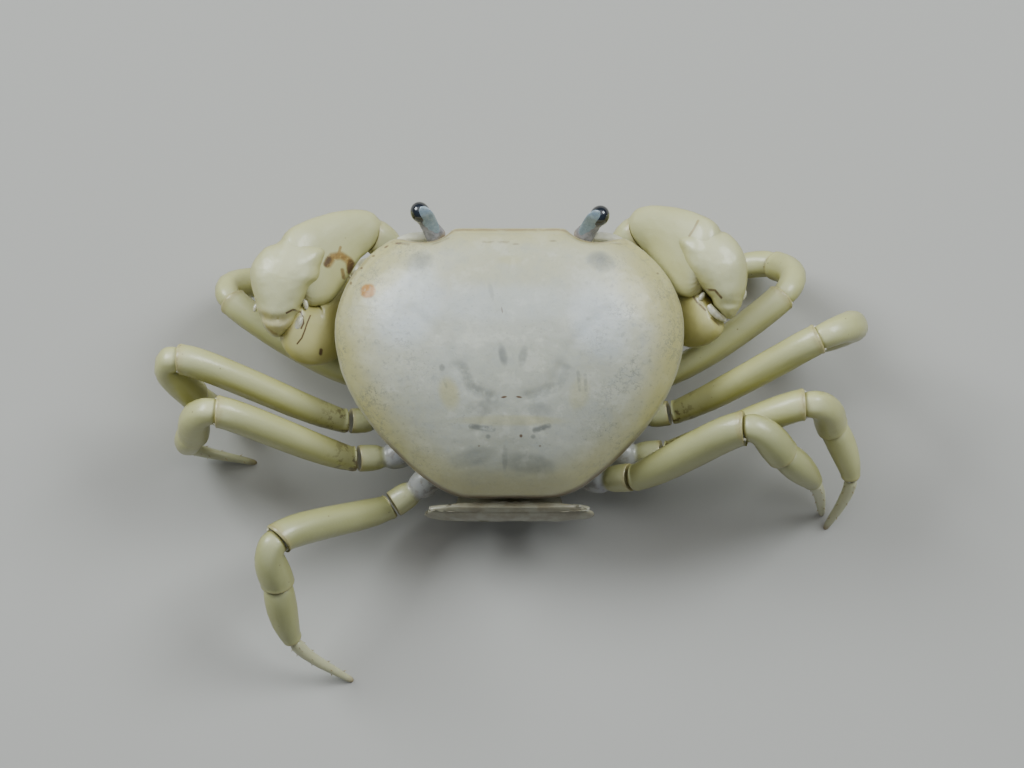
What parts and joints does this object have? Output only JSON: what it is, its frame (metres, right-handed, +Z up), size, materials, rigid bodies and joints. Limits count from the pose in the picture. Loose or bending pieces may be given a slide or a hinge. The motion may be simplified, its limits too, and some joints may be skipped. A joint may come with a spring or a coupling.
{
  "type": "freshwater crab",
  "caption": "Pale cream freshwater crab with a smooth oval shell, raised eyes, folded claws and slender yellow-green legs, standing still.",
  "frame": {"origin": "on the floor under the middle of the crab's box, claws and legs included", "axes": "+Z up, -Y towards the crab's head, +X towards the crab's left side"},
  "size_m": [0.0614, 0.0408, 0.0175],
  "materials": {
    "shell": "smooth wet ivory shell, semi-gloss",
    "claw": "smooth pale yellow-green shell, semi-gloss",
    "limb": "smooth pale yellow-green shell, semi-gloss",
    "stalk": "wet translucent blue-grey skin",
    "eye": "glossy black"
  },
  "bodies": {
    "root": {"carapace": "shell", "sternum": "shell", "abdomen": "shell", "mouthparts": "shell", "eyestalk_left": "stalk", "eye_left": "eye", "antenna_left": "stalk", "claw_left_hip": "claw", "claw_left_merus": "claw", "claw_left_carpus": "claw", "claw_left_palm": "claw", "claw_left_finger": "claw", "leg2_left_hip": "limb", "leg2_left_merus": "limb", "leg2_left_carpus": "limb", "leg2_left_propodus": "limb", "leg2_left_dactylus": "limb", "leg3_left_hip": "limb", "leg3_left_merus": "limb", "leg3_left_carpus": "limb", "leg3_left_propodus": "limb", "leg3_left_dactylus": "limb", "leg4_left_hip": "limb", "leg4_left_merus": "limb", "leg4_left_carpus": "limb", "leg4_left_propodus": "limb", "leg4_left_dactylus": "limb", "leg5_left_hip": "limb", "leg5_left_merus": "limb", "leg5_left_carpus": "limb", "leg5_left_propodus": "limb", "leg5_left_dactylus": "limb", "eyestalk_right": "stalk", "eye_right": "eye", "antenna_right": "stalk", "claw_right_hip": "claw", "claw_right_merus": "claw", "claw_right_carpus": "claw", "claw_right_palm": "claw", "claw_right_finger": "claw", "leg2_right_hip": "limb", "leg2_right_merus": "limb", "leg2_right_carpus": "limb", "leg2_right_propodus": "limb", "leg2_right_dactylus": "limb", "leg3_right_hip": "limb", "leg3_right_merus": "limb", "leg3_right_carpus": "limb", "leg3_right_propodus": "limb", "leg3_right_dactylus": "limb", "leg4_right_hip": "limb", "leg4_right_merus": "limb", "leg4_right_carpus": "limb", "leg4_right_propodus": "limb", "leg4_right_dactylus": "limb", "leg5_right_hip": "limb", "leg5_right_merus": "limb", "leg5_right_carpus": "limb", "leg5_right_propodus": "limb", "leg5_right_dactylus": "limb"}
  },
  "joints": []
}
